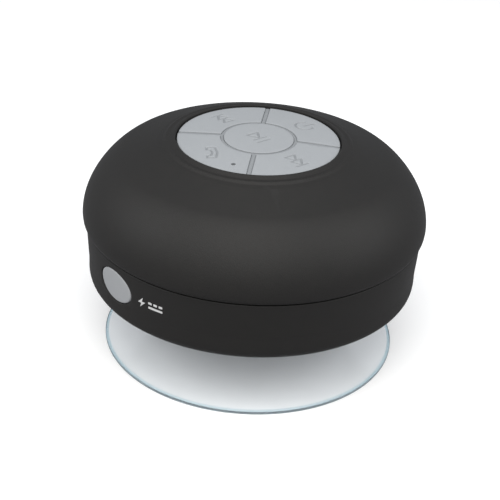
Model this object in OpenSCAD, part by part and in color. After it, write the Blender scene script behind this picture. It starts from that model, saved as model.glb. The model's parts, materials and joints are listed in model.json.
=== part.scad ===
// Shower speaker: a round splash-proof loudspeaker on a suction cup.
// Millimetres. Z is up, z = 0 is the plane the cup's rim rests on, and the Z axis is the
// speaker's own axis. +Y is the power key's side, -Y the call key's side and the port plug's.

/* [Body] */
// Widest diameter of the top shell
body_d = 86; // [84:0.5:90]
// Wall thickness of the top shell at its lower edge
shell_wall = 2.7; // [2.2:0.1:3.0]
// Radius of the bottom corner of the base shell
base_corner = 5; // [3:0.5:6]

/* [Keypad] */
// Diameter of the rubber keypad
keypad_d = 40; // [39:0.1:40.2]
// Diameter of the round groove around the centre key
centre_groove_d = 18; // [16:0.5:20]
// Width of the round groove around the centre key
ring_groove_w = 0.8; // [0.7:0.05:1]
// Width of the four grooves between the outer keys
groove_w = 1.1; // [0.8:0.05:1.3]
// How far the keys stand clear of the web under them
key_float = 0.5; // [0.4:0.05:0.6]
// Width of the lines of the engraved signs
line_w = 0.5; // [0.4:0.05:0.6]
// Depth of the engraved signs
line_depth = 0.2; // [0.1:0.05:0.3]

/* [Suction cup] */
// Diameter of the suction cup at its rim
cup_d = 75; // [60:1:80]
// Height of the cup's hollow
cup_hollow_h = 13; // [10:0.5:13]

/* [Charging port] */
// Width of the oval port plug
plug_w = 12.3; // [11:0.1:12.3]
// Height of the oval port plug
plug_h = 8.2; // [7.5:0.1:8.2]
// Radius of the centre contact of the charging socket
jack_pin_r = 0.65; // [0.5:0.05:0.65]

/* [Driver] */
// Radius of the loudspeaker's frame
frame_r = 20.4; // [20:0.1:20.6]
// Radius of the pole piece
pole_r = 6; // [5.5:0.1:6]

/* [Hidden] */
$fn = 96;
EPS = 0.01;          // how far a cutter runs past a face
FINE = 48;           // segments of a drawn curve

// Levels
z_floor = 18;        // underside of the base shell
z_seam = 33.6;       // top of the base shell's band
seam = 0.5;          // height of the seal that shows in the seam
z_widest = 36;       // where the top shell is widest
z_ridge = 54.95;     // where the top shell meets the collar
z_lip = 55.9;        // top of the collar around the keypad
z_pcb = 47.2;        // underside of the circuit board
pcb_t = 1.2;
z_key_edge = 55.4;   // top of the keypad at its edge
key_crown = 0.7;     // how much higher the keypad is at its centre
z_jack = 27.6;       // height of the charging socket's axis
z_web = 53.7;        // underside of the keypad's web
z_web_top = 54.3;
z_nib = 52.6;        // lower end of the keys' nibs, resting on the plungers

// Radii
body_r = body_d / 2;
band_r = body_r - 1.1;
keypad_r = keypad_d / 2;
recess_r = keypad_r + 0.35;
ridge_r = 23;        // where the top shell meets the collar
shoulder_r = 33;     // where the shell's conical top turns into its shoulder
cone_slope = 0.366;  // fall of the conical top per unit of radius
post_ring = 33;      // circle of the case screws
pcb_post_ring = 23;  // circle of the circuit board's screws
floor_t = 2;
base_inner_r = band_r - 3.4;
hub_r = 9.2;         // cup socket, outside
neck_r = 4.2;        // cup neck
head_r = 7.2;        // cup head, held in the socket
seat_ring_r = 17.4;  // inside of the driver's seat
ear_ring = 23;       // circle of the driver's screws
key_ring = 14.5;     // circle of the four outer keys' switches
nib_r = 1.9;         // nib under each key
nib_hole_r = nib_r + 0.5;
groove_r = centre_groove_d / 2;
rib_w = groove_w - 0.3;            // web standing up in each groove
ring_rib_w = ring_groove_w - 0.3;
plug_gap = 0.12;     // clearance around the port plug
well_y = -39.6;      // floor of the port's well
jack_bottom = -29.3; // end of the charging socket's bore
jack_root_r = 1;     // root of the centre contact, in the socket's back wall
strap_x = 4.7;       // place of the plug's rubber strap

KEY_ANGLES = [0, 90, 180, 270];
POST_ANGLES = [45, 135, 225, 315];

function arc(cx, cz, r, a0, a1, n = 10) =
    [for (i = [0:n]) let (a = a0 + (a1 - a0) * i / n) [cx + r * cos(a), cz + r * sin(a)]];

// Shoulder from a conical top at start down to the upright wall at end
function shoulder(start, end, lead, rise, n = 28) = [for (i = [0:n]) let (t = i / n)
    pow(1 - t, 3) * start + 3 * pow(1 - t, 2) * t * (start + lead * [1, -cone_slope])
    + 3 * (1 - t) * t * t * (end + [0, rise]) + pow(t, 3) * end];

// Top of the crowned keypad at radius r
function crown_z(r) = z_key_edge + key_crown * (1 - pow(r / keypad_r, 2));

module rounded_rect(w, h, r) {
    square([w - 2 * r, h], center = true);
    square([w, h - 2 * r], center = true);
    for (x = [-1, 1], y = [-1, 1]) translate([x * (w / 2 - r), y * (h / 2 - r)]) circle(r = r);
}

module oval(w, h) {
    square([w - h, h], center = true);
    for (x = [-1, 1]) translate([x * (w - h) / 2, 0]) circle(d = h);
}

module ring(r_out, r_in, z0, z1) {
    difference() {
        translate([0, 0, z0]) cylinder(r = r_out, h = z1 - z0);
        translate([0, 0, z0 - EPS]) cylinder(r = r_in, h = z1 - z0 + 2 * EPS);
    }
}

module around(ring_r, angles) {
    for (a = angles) rotate([0, 0, a]) translate([ring_r, 0, 0]) children();
}

module screw(head_r, head_z, head_h, shank_r, z_end) {
    difference() {
        union() {
            translate([0, 0, head_z]) cylinder(r = head_r, h = head_h);
            translate([0, 0, min(head_z, z_end)]) cylinder(r = shank_r, h = abs(z_end - head_z));
        }
        for (a = [0, 90]) rotate([0, 0, a])
            translate([0, 0, z_end > head_z ? head_z : head_z + head_h])
                cube([head_r * 1.2, head_r * 0.25, head_h], center = true);
    }
}

// A round wire that runs straight from point to point, with a small bead in every bend
module wire(route, r) {
    for (i = [1:len(route) - 1])
        let (run = route[i] - route[i - 1])
            translate(route[i - 1]) rotate([0, acos(run.z / norm(run)), atan2(run.y, run.x)])
                cylinder(r = r, h = norm(run));
    for (i = [1:len(route) - 2]) translate(route[i]) sphere(r = r * 1.04);
}

// Both wires of a pair, one on each side of the route
module wire_pair(route, spread, r) {
    color("crimson") wire([for (p = route) p + spread], r);
    color("dimgray") wire([for (p = route) p - spread], r);
}

// ---- Housing ----

module dome_solid() {
    shoulder_z = z_ridge - cone_slope * (shoulder_r - ridge_r);
    rotate_extrude() polygon(concat(
        [[0, z_lip], [recess_r + 0.25, z_lip], [ridge_r, z_ridge]],
        shoulder([shoulder_r, shoulder_z], [body_r, z_widest], 3.8, 6.8),
        [[body_r - 0.2, z_seam + seam + 0.9], [body_r - 0.55, z_seam + seam + 0.3],
         [body_r - 0.8, z_seam + seam], [0, z_seam + seam]]));
}

module dome_hollow() {
    inner_r = body_r - shell_wall;
    ceiling = 52.2;
    rotate_extrude() polygon(concat(
        [[0, ceiling], [ridge_r + 0.4, ceiling]],
        shoulder([shoulder_r - 1.5, ceiling - cone_slope * 8.1], [inner_r, z_widest], 3.8, 6.8),
        [[inner_r, z_seam], [0, z_seam]]));
}

module dome_shell() {
    post_z = 34.3;
    color("#35342f") difference() {
        dome_solid();
        difference() {
            dome_hollow();
            around(post_ring, POST_ANGLES) translate([0, 0, post_z]) cylinder(r = 3, h = 20);
            around(pcb_post_ring, POST_ANGLES)
                translate([0, 0, z_pcb + pcb_t]) cylinder(r = 2.2, h = 6);
        }
        translate([0, 0, z_web]) cylinder(r = recess_r, h = 5);
        translate([0, 0, z_web - 4]) cylinder(r = nib_hole_r, h = 5);
        around(key_ring, KEY_ANGLES) translate([0, 0, z_web - 4]) cylinder(r = nib_hole_r, h = 5);
        mic_place() translate([0, 0, z_web - 4]) cylinder(r = 0.9, h = 5);
        around(post_ring, POST_ANGLES) translate([0, 0, post_z - 1]) cylinder(r = 1, h = 8.7);
        around(pcb_post_ring, POST_ANGLES)
            translate([0, 0, z_pcb]) cylinder(r = 0.75, h = pcb_t + 2.4);
    }
}

module mic_place() rotate([0, 0, -60]) translate([16, 0, 0]) children();

module band_solid() {
    cz = z_floor + base_corner;
    cr = band_r - 0.4 - base_corner;
    rotate_extrude() polygon(concat(
        [[0, z_floor]],
        arc(cr, cz, base_corner, -90, 0),
        [[band_r - 0.25, 26], [band_r + 0.05, 31], [band_r + 0.2, z_seam], [0, z_seam]]));
}

module well_place(y) translate([0, y, z_jack]) rotate([-90, 0, 0]) children();

module base_shell() {
    post_top = 34.2;
    lip_r = 39.7;
    color("#2b2b29") difference() {
        union() {
            difference() {
                union() {
                    band_solid();
                    ring(lip_r, base_inner_r, z_seam - 1, z_seam + 2.6);
                }
                rotate_extrude() polygon(concat(
                    [[0, z_floor + floor_t]],
                    arc(base_inner_r - 3, z_floor + floor_t + 3, 3, -90, 0),
                    [[base_inner_r, z_seam + 5], [0, z_seam + 5]]));
            }
            translate([0, 0, z_floor]) cylinder(r = hub_r, h = 5.8);
            ring(frame_r, seat_ring_r, z_floor + 1, 23.4);
            around(ear_ring, KEY_ANGLES) translate([0, 0, z_floor + 1]) cylinder(r = 2.2, h = 5.2);
            around(post_ring, POST_ANGLES)
                translate([0, 0, z_floor + 1]) cylinder(r = 3.2, h = post_top - z_floor - 1);
            intersection() {
                translate([-9, -42, z_jack - 6]) cube([18, 3.8, 12]);
                translate([0, 0, z_floor]) cylinder(r = band_r - 1, h = 20);
            }
            translate([-3, -37, z_floor + 1]) cube([6, 8, z_jack - 3 - z_floor - 1]);
        }
        translate([0, 0, z_floor - EPS]) cylinder(r = neck_r + 0.3, h = 2);
        translate([0, 0, z_floor + 1.6]) cylinder(r = head_r + 0.5, h = 3.2);
        around(11.8, [for (i = [0:13]) i * 360 / 14])
            translate([0, 0, z_floor - 1]) cylinder(r = 1.1, h = 4, $fn = 24);
        around(15, [for (i = [0:17]) i * 360 / 18])
            translate([0, 0, z_floor - 1]) cylinder(r = 1.1, h = 4, $fn = 24);
        around(ear_ring, KEY_ANGLES) translate([0, 0, z_floor + floor_t + 0.8]) cylinder(r = 0.75, h = 6);
        around(post_ring, POST_ANGLES) {
            translate([0, 0, z_floor - 1]) cylinder(r = 2.3, h = 11);
            translate([0, 0, z_floor]) cylinder(r = 1.05, h = 20);
        }
        well_place(-44) linear_extrude(44 + well_y) oval(plug_w + 2 * plug_gap, plug_h + 2 * plug_gap);
        well_place(-44) cylinder(r = 2.1, h = 8);
        well_place(-44) translate([strap_x, 0, 0]) cylinder(r = 0.75, h = 8);
    }
}

module case_seal() {
    color("black") ring(body_r - 1.6, 39.75, z_seam, z_seam + seam);
}

module keypad_membrane() {
    color("#9aa0a3") difference() {
        union() {
            translate([0, 0, z_web]) cylinder(r = keypad_r, h = z_web_top - z_web);
            intersection() {
                translate([0, 0, z_web]) linear_extrude(5) {
                    difference() {
                        circle(r = groove_r + ring_rib_w / 2);
                        circle(r = groove_r - ring_rib_w / 2);
                    }
                    for (a = POST_ANGLES) rotate([0, 0, a])
                        translate([groove_r, -rib_w / 2]) square([keypad_r - groove_r - 0.05, rib_w]);
                }
                crown(-0.5);
            }
        }
        translate([0, 0, z_web - 1]) cylinder(r = nib_hole_r, h = 3);
        around(key_ring, KEY_ANGLES) translate([0, 0, z_web - 1]) cylinder(r = nib_hole_r, h = 3);
        mic_place() translate([0, 0, z_web - 1]) cylinder(r = 0.6, h = 3);
    }
}

// Solid under the keypad's crowned top, shifted by lift
module crown(lift) {
    steps = 8;
    rotate_extrude() polygon(concat(
        [[0, 50], [keypad_r, 50]],
        [for (i = [0:steps]) let (r = keypad_r * (1 - i / steps)) [r, crown_z(r) + lift]]));
}

// Direct-current sign: a bar over three dashes, and a flash
module port_sign() {
    translate([-3.6, 0.35]) square([4, 0.55]);
    for (i = [0:2]) translate([-3.6 + 1.5 * i, -0.9]) square([1, 0.55]);
    polygon([[2.9, 1.35], [1.5, -0.2], [2.5, -0.2], [2.1, -1.35], [3.5, 0.2], [2.5, 0.2]]);
}

module port_mark() {
    ink = 0.06;
    color("white") intersection() {
        rotate([0, 0, 17]) translate([0, -30, z_jack]) rotate([90, 180, 0]) linear_extrude(14) port_sign();
        difference() {
            ring(band_r - 0.1 + ink, band_r - 2, z_jack - 4, z_jack + 4);
            band_solid();
        }
    }
}

module case_screws() {
    color("silver") around(post_ring, POST_ANGLES) screw(2, 26.2, 1.75, 0.95, 41);
}

// ---- Keys ----

module key_cap(angle) {
    intersection() {
        translate([0, 0, z_web_top + key_float]) linear_extrude(3) intersection() {
            difference() {
                circle(r = keypad_r);
                circle(r = groove_r + ring_groove_w / 2);
            }
            rotate([0, 0, angle - 45])
                translate([groove_w / 2, groove_w / 2]) square(keypad_r + 2);
        }
        crown(0);
    }
}

// Engraved line through a list of points
module line(points) {
    for (i = [1:len(points) - 1])
        let (run = points[i] - points[i - 1])
            translate(points[i - 1]) rotate(atan2(run.y, run.x))
                translate([0, -line_w / 2]) square([norm(run), line_w]);
    for (p = points) translate(p) circle(d = line_w + 0.04);
}

// Upright line at x, h long
module bar(x, h) line([[x, -h / 2], [x, h / 2]]);

// Outline of a triangle w wide that starts at x; a negative w points it to -X
module arrow_tip(x, w, h) line([[x, -h / 2], [x + w, 0], [x, h / 2], [x, -h / 2]]);

// Two arrow tips and a bar; side -1 points them to -X
module skip_sign(side) {
    for (x = [-2.55, -0.15]) arrow_tip(side * x, side * 2.4, 3);
    bar(side * 2.4, 3.4);
}

module handset_sign() {
    line([[2, 2.7], [0, 2.7], [-0.45, 0], [0, -2.7], [2, -2.7], [2, -1.5], [1.1, -1.4], [0.75, 0],
          [1.1, 1.4], [2, 1.5], [2, 2.7]]);
}

// Cutter that sinks a sign into a key's crowned top
module sunk(place) {
    difference() {
        translate([place.x, place.y, z_key_edge - 1]) linear_extrude(3) children();
        crown(-line_depth);
    }
}

module nib(x, y) {
    translate([x, y, z_nib]) cylinder(r = nib_r, h = z_key_edge - z_nib);
}

module key_play() {
    edge = groove_r - ring_groove_w / 2;
    color("#a9afb2") difference() {
        union() {
            intersection() {
                translate([0, 0, z_web_top + key_float]) cylinder(r = edge, h = 3);
                crown(0);
            }
            nib(0, 0);
        }
        sunk([0, 0]) {
            arrow_tip(-2.55, 2.75, 3.3);
            for (x = [0.55, 2.15]) bar(x, 3.7);
        }
    }
}

module key_power() {
    sign_r = 2.25;
    color("#a9afb2") difference() {
        union() {
            key_cap(90);
            nib(0, key_ring);
        }
        sunk([0, key_ring]) {
            difference() {
                circle(r = sign_r + line_w / 2);
                circle(r = sign_r - line_w / 2);
                polygon([[0, 0], [3.5, 2.9], [-3.1, 2.9]]);
            }
            line([[0, 0], [0, 3.3]]);
        }
    }
}

module key_next() {
    color("#a9afb2") difference() {
        union() {
            key_cap(0);
            nib(key_ring, 0);
        }
        sunk([key_ring, 0]) skip_sign(1);
    }
}

module key_previous() {
    color("#a9afb2") difference() {
        union() {
            key_cap(180);
            nib(-key_ring, 0);
        }
        sunk([-key_ring, 0]) skip_sign(-1);
    }
}

module key_call() {
    color("#a9afb2") difference() {
        union() {
            key_cap(270);
            nib(0, -key_ring);
        }
        sunk([0.7, 0.8 - key_ring]) rotate(237) handset_sign();
        mic_place() translate([0, 0, z_nib]) cylinder(r = 0.5, h = 6);
    }
}

// ---- Electronics ----

module main_pcb() {
    color("darkgreen") difference() {
        translate([0, 0, z_pcb]) cylinder(r = 27, h = pcb_t);
        around(pcb_post_ring, POST_ANGLES) translate([0, 0, z_pcb - 1]) cylinder(r = 0.9, h = 4);
    }
}

module pcb_screws() {
    color("silver") around(pcb_post_ring, POST_ANGLES)
        screw(1.4, z_pcb - 0.9, 0.9, 0.7, z_pcb + pcb_t + 2);
}

SWITCH_Z = z_pcb + pcb_t;
PLUNGER_R = 1.7;

module tact_switch(x, y) {
    color("black") translate([x, y, SWITCH_Z]) difference() {
        translate([-3, -3, 0]) cube([6, 6, 3]);
        translate([0, 0, 1.2]) cylinder(r = PLUNGER_R + 0.1, h = 3);
    }
}

module plunger(x, y) {
    color("white") translate([x, y, SWITCH_Z + 1.7]) cylinder(r = PLUNGER_R, h = z_nib - SWITCH_Z - 1.7);
}

module chip(x, y, w, d, h) {
    color("#202020") translate([x - w / 2, y - d / 2, z_pcb + pcb_t]) cube([w, d, h]);
}

module bluetooth_chip() chip(-8, 13, 6, 6, 0.9);
module amplifier_chip() chip(8, 11, 5, 4, 1.5);
module crystal() color("silver") translate([-14, 9.5, z_pcb + pcb_t + 0.6])
    linear_extrude(0.6, center = true) rounded_rect(3.2, 2.5, 0.4);
module inductor() color("#404040") translate([9.5, -9.5, z_pcb + pcb_t]) cylinder(r = 2, h = 1.9);
module capacitors() color("tan")
    for (x = [-11, -8.5, -6]) translate([x, -8.5, z_pcb + pcb_t]) cube([1.2, 2, 0.8]);

module battery_connector() color("ivory") translate([19.6, -2.5, z_pcb - 3]) cube([3.6, 5, 3]);

module microphone() color("silver") mic_place() translate([0, 0, z_pcb + pcb_t])
    difference() {
        cylinder(r = 2, h = 1.5);
        translate([0, 0, 1]) cylinder(r = 0.4, h = 1);
    }

module microphone_boot() color("black") mic_place()
    difference() {
        translate([0, 0, z_pcb + pcb_t]) cylinder(r = 2.4, h = 2.2);
        translate([0, 0, z_pcb + pcb_t - 1]) cylinder(r = 2, h = 2.5);
        translate([0, 0, z_pcb + pcb_t]) cylinder(r = 0.5, h = 5);
    }

module status_led() color("aqua") translate([-8, -13.5, z_pcb + pcb_t]) cube([1.6, 0.8, 0.8]);

module jack_body() {
    color("black") difference() {
        translate([-3, -38.1, z_jack - 3]) cube([6, 10.6, 6]);
        well_place(-39) cylinder(r = 1.85, h = 39 + jack_bottom);
        well_place(-30) cylinder(r = jack_root_r, h = 3);
    }
}

module jack_pin() color("gold") {
    well_place(-37) cylinder(r = jack_pin_r, h = 7.7);
    well_place(jack_bottom) cylinder(r = jack_root_r, h = 2.6);
}

module jack_tags() color("silver") for (x = [-4.2, 3])
    translate([x, -31, z_jack - 1]) cube([1.2, 2.4, 0.3]);

module battery_foam() color("gray") translate([0, 0, 41]) linear_extrude(0.5) rounded_rect(16, 16, 2);
module battery_cell() color("silver") translate([0, 0, 41.5]) linear_extrude(4.6) rounded_rect(34, 28, 1.5);
module battery_board() color("green") translate([17.2, -6, 42]) cube([1, 12, 3.6]);

module battery_wires() wire_pair([[18.3, 0, 43], [21.4, 0, 43], [21.4, 0, 44.1]], [0, 1.2, 0], 0.45);
module speaker_wires() wire_pair(
    [[-17.2, 10, 31.3], [-17.2, 10, 32], [-18.4, 11, 34], [-19.5, 12, 38], [-19.5, 12, 42],
     [-18.4, 12, 45], [-18, 12, 46.4], [-18, 12, 47.1]], [0, 1.2, 0], 0.45);
module jack_wires() for (side = [-1, 1]) color(side < 0 ? "dimgray" : "crimson")
    wire([[3.8 * side, -29.4, 27], [4.4 * side, -29.6, 28.4], [5 * side, -29.4, 32], [5 * side, -28, 38],
          [5 * side, -25, 43], [5 * side, -23, 46.2], [5 * side, -23, 47.1]], 0.45);

// ---- Loudspeaker ----

module driver_frame() {
    wall_r = frame_r - 5.8;
    color("#303030") difference() {
        union() {
            rotate_extrude() polygon([
                [seat_ring_r, 24.2], [frame_r, 24.2], [frame_r, 25.2], [18.9, 25.2], [wall_r, 32.2],
                [wall_r, 33], [7.4, 33], [7.4, 32.2], [wall_r - 1, 32.2], [seat_ring_r, 25.9]]);
            difference() {
                around(ear_ring, KEY_ANGLES) translate([0, 0, 24.2]) cylinder(r = 2.6, h = 1);
                translate([0, 0, 24]) cylinder(r = frame_r - 0.5, h = 2);
            }
        }
        for (a = POST_ANGLES) rotate([0, 0, a])
            translate([12, -4, 26.4]) cube([12, 8, 2.4]);
        around(ear_ring, KEY_ANGLES) translate([0, 0, 24]) cylinder(r = 0.9, h = 3);
    }
}

module driver_gasket() color("black") ring(frame_r - 0.2, seat_ring_r + 0.2, 23.4, 24.2);
module driver_screws() color("silver")
    around(ear_ring, KEY_ANGLES) screw(1.4, 25.2, 0.9, 0.7, 21);
module top_plate() color("silver") ring(14.4, pole_r + 1.05, 33, 35);
module magnet() color("#404040") ring(14.2, pole_r + 3, 35, 39);
module yoke() color("silver") {
    translate([0, 0, 39]) cylinder(r = 13.8, h = 2);
    translate([0, 0, 33.2]) cylinder(r = pole_r, h = 6);
}
module terminal_strip() color("sienna") translate([-18.2, 7.5, 28.2]) cube([2, 5, 3]);

module surround() color("#181818") rotate_extrude() polygon(concat(
    arc(16.2, 25, 1.15, 180, 360, 12), arc(16.2, 25, 0.85, 360, 180, 12)));

module spider() color("khaki") rotate_extrude()
    polygon([[6.5, 29.4], [14.8, 29.4], [14.8, 29.8], [6.5, 29.8]]);

module speaker_cone() color("#242424") rotate_extrude()
    polygon([[15, 24.9], [15, 25.3], [6.45, 28.9], [6.45, 28.5]]);

module dust_cap() {
    sag = 2;
    cap_r = 6.3;
    ball = (cap_r * cap_r + sag * sag) / (2 * sag);
    half = asin(cap_r / ball);
    color("#303030") rotate_extrude() polygon(concat(
        arc(0, 25.6 + ball, ball, -90, -90 + half, 8),
        arc(0, 25.9 + ball, ball, -90 + half, -90, 8)));
}

module coil_former() color("tan") ring(6.45, 6.3, 27.6, 37.6);
module voice_coil() color("#b5651d") ring(6.75, 6.45, 32.4, 35.6);

module splash_membrane() color("#505050") ring(seat_ring_r - 0.1, hub_r + 0.1, z_floor + floor_t, 20.3);

// ---- Port plug ----

module port_strap() color("#8e9497") {
    well_place(-39.74) translate([strap_x, 0, 0]) cylinder(r = 0.55, h = 2.2);
    well_place(-38.1) translate([strap_x, 0, 0]) cylinder(r = 1.05, h = 1.1);
}

module port_plug() {
    color("#8e9497") {
        intersection() {
            well_place(-44) linear_extrude(3.4) oval(plug_w, plug_h);
            band_solid();
        }
        well_place(-40.7) linear_extrude(0.95) oval(plug_w - 1.3, plug_h - 1.3);
        well_place(-39.8) cylinder(r = 1.5, h = 0.9);
    }
}

// ---- Suction cup ----

module suction_cup() {
    rim_r = cup_d / 2;
    lip = 1.2;           // flat width of the rim
    skin = 0.9;          // thickness at the rim
    boss_r = 9;
    steep = 1.3;
    color("#cfdde0", 0.45) rotate_extrude() polygon(concat(
        [[0, cup_hollow_h]],
        [for (i = [FINE:-1:0]) let (t = i / FINE)
            [rim_r - lip - (rim_r - lip - boss_r) * t, cup_hollow_h * pow(t, steep)]],
        [[rim_r - 0.15, 0], [rim_r, 0.3], [rim_r, 0.65]],
        [for (i = [0:FINE]) let (t = i / FINE)
            [rim_r - 0.25 - (rim_r - 0.25 - boss_r) * t, skin + (cup_hollow_h + 2) * pow(t, steep)]],
        [[boss_r, 17.3], [boss_r - 0.3, 17.6], [neck_r, 17.6], [neck_r, 19.9], [head_r - 0.6, 19.9],
         [head_r, 20.4], [head_r - 0.4, 21.4], [neck_r, 22.4], [0, 22.4]]));
}

dome_shell();
base_shell();
case_seal();
keypad_membrane();
port_mark();
case_screws();
main_pcb();
pcb_screws();
tact_switch(0, 0);  // switch_play
tact_switch(0, key_ring);  // switch_power
tact_switch(key_ring, 0);  // switch_next
tact_switch(-key_ring, 0);  // switch_previous
tact_switch(0, -key_ring);  // switch_call
bluetooth_chip();
amplifier_chip();
crystal();
inductor();
capacitors();
battery_connector();
microphone();
microphone_boot();
status_led();
jack_body();
jack_pin();
jack_tags();
battery_foam();
battery_cell();
battery_board();
battery_wires();
speaker_wires();
jack_wires();
driver_frame();
driver_gasket();
driver_screws();
top_plate();
magnet();
yoke();
terminal_strip();
surround();
spider();
splash_membrane();
port_strap();
key_play();
key_power();
key_next();
key_previous();
key_call();
plunger(0, 0);  // plunger_play
plunger(0, key_ring);  // plunger_power
plunger(key_ring, 0);  // plunger_next
plunger(-key_ring, 0);  // plunger_previous
plunger(0, -key_ring);  // plunger_call
port_plug();
suction_cup();
speaker_cone();
dust_cap();
coil_former();
voice_coil();
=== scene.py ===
# %% [markdown]
# # A shower speaker on a suction cup
#
# The mechanical parts are finished already: every shell, key and screw stands in its place as a plain
# solid. This lesson puts the looks around them. Each visible part is drawn again as a clean mesh,
# exactly where its solid is, and every material is built from nodes.
# We start by loading the solids.

# %% Load the finished frame
import json
import math

import bmesh
import bpy
from mathutils import Matrix, Vector
from mathutils.geometry import delaunay_2d_cdt


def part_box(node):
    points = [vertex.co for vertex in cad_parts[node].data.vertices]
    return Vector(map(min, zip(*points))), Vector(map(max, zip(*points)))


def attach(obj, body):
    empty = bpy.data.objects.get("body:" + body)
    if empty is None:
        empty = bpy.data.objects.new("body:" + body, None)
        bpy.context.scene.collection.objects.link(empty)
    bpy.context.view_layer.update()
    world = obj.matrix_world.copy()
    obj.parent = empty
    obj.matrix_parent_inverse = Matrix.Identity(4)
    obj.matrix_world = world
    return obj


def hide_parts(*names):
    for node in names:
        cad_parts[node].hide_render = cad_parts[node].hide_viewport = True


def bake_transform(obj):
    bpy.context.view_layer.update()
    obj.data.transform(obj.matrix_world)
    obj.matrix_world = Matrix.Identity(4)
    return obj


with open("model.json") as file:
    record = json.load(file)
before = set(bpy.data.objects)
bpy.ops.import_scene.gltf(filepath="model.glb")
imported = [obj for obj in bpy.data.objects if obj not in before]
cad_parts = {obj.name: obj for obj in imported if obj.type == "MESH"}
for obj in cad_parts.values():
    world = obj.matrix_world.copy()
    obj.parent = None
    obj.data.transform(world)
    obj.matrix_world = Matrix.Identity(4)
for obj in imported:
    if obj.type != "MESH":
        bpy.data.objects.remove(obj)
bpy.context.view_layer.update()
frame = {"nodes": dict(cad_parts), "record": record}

MM = 0.001

# %% [markdown]
# ## Sizes taken from the frame
#
# A speaker like this is almost all circles on one upright axis, so a few radii and heights describe it.
# They are read from the solids instead of typed in, and everything drawn later uses them, in millimetres.

# %% Radii and heights
def low(node):
    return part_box(node)[0] / MM


def high(node):
    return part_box(node)[1] / MM


BODY_R = high("dome_shell").x            # widest radius of the top shell
LIP_Z = high("dome_shell").z             # top of the collar around the keypad
SEAM_TOP = low("dome_shell").z           # lower edge of the top shell
SEAM_BOTTOM = low("case_seal").z         # upper edge of the base's band
FLOOR_Z = low("base_shell").z            # underside of the base
TONGUE_Z = high("base_shell").z          # top of the base's inner tongue
KEYPAD_R = high("keypad_membrane").x
WEB_BOTTOM = low("keypad_membrane").z
NIB_Z = low("key_play").z                # lower end of the keys' nibs
PLAY_R = high("key_play").x
CUP_R = high("suction_cup").x
CUP_TOP = high("suction_cup").z
PORT = (low("port_plug") + high("port_plug")) / 2
PLUG_W, _, PLUG_H = high("port_plug") - low("port_plug")
RECESS_R = KEYPAD_R + 0.35               # hole in the top shell that holds the keypad
print("body radius", round(BODY_R, 2), "mm, height of the collar", round(LIP_Z, 2), "mm")

# %% [markdown]
# ## The camera and the studio
#
# The speaker is seen from a little above, with the camera turned a few degrees about its own line of
# sight because the body leans slightly on its soft cup. A long lens keeps the circles calm. We write the
# camera's own axes as a matrix, so nothing has to be tracked or constrained.

# %% Camera
AZIMUTH = math.radians(50.7)
ELEVATION = math.radians(29.34)
ROLL = math.radians(3.14)
AIM = Vector((-0.0004, -0.0005, 0.0244))
DISTANCE = 0.3408

camera_data = bpy.data.cameras.new("camera")
camera_data.sensor_width = 36
camera_data.lens = 95.85
camera_data.clip_start = 0.01
camera = bpy.data.objects.new("camera", camera_data)
bpy.context.scene.collection.objects.link(camera)
bpy.context.scene.camera = camera

sight = Vector((-math.sin(AZIMUTH) * math.cos(ELEVATION),
                math.cos(AZIMUTH) * math.cos(ELEVATION), -math.sin(ELEVATION)))
level = Vector((math.cos(AZIMUTH), math.sin(AZIMUTH), 0))
upright = level.cross(sight)
right = math.cos(ROLL) * level + math.sin(ROLL) * upright
camera.matrix_world = Matrix.LocRotScale(
    AIM - DISTANCE * sight, Matrix((right, right.cross(sight), -sight)).transposed().to_quaternion(), None)
print("camera stands at", [round(c, 3) for c in camera.matrix_world.translation])

# %% [markdown]
# ## Light
#
# A soft-touch shell shows mostly what it reflects, so it wants an even, bright surround. One large softbox
# high on the camera's side draws a broad, slightly warm sheen over the shoulder and leaves the band darker.
# Two smaller ones at the sides lift the flanks and reach in under the body, where the clear cup stands.
# The world is plain white to the camera, also through the cup, and a calmer grey to everything else.

# %% Lamps
def softbox(name, side, away, up, size, watts, colour=(1, 1, 1)):
    """A square softbox, placed sideways, away from the camera and up, in metres, that faces the speaker."""
    ahead = Vector((sight.x, sight.y, 0)).normalized()
    place = level * side + ahead * away + Vector((0, 0, up))
    lamp = bpy.data.lights.new(name, "AREA")
    lamp.size = size
    lamp.energy = watts
    lamp.color = colour
    holder = bpy.data.objects.new(name, lamp)
    holder.location = place
    holder.rotation_mode = "QUATERNION"
    holder.rotation_quaternion = (Vector((0, 0, 0.03)) - place).to_track_quat("-Z", "Y")
    bpy.context.scene.collection.objects.link(holder)


softbox("key_light", -0.03, -0.32, 0.44, 0.5, 2.3, (1, 0.98, 0.94))
softbox("top_light", 0.0, 0.0, 0.8, 0.8, 1.2)
softbox("left_light", -0.45, -0.08, 0.32, 0.32, 1.05)
softbox("right_light", 0.45, -0.08, 0.32, 0.32, 1.1)
print("lamps:", ", ".join(lamp.name for lamp in bpy.data.lights))


# %% World
def by_ray(tree, kinds, other, chosen):
    """Show the chosen shader to two kinds of rays and the other one to the rest; gives the mixed output."""
    rays = tree.nodes.new("ShaderNodeLightPath")
    either = tree.nodes.new("ShaderNodeMath")
    either.operation = "MAXIMUM"
    mix = tree.nodes.new("ShaderNodeMixShader")
    for i, kind in enumerate(kinds):
        tree.links.new(rays.outputs[kind], either.inputs[i])
    tree.links.new(either.outputs[0], mix.inputs[0])
    tree.links.new(other.outputs[0], mix.inputs[1])
    tree.links.new(chosen.outputs[0], mix.inputs[2])
    return mix.outputs[0]


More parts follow.
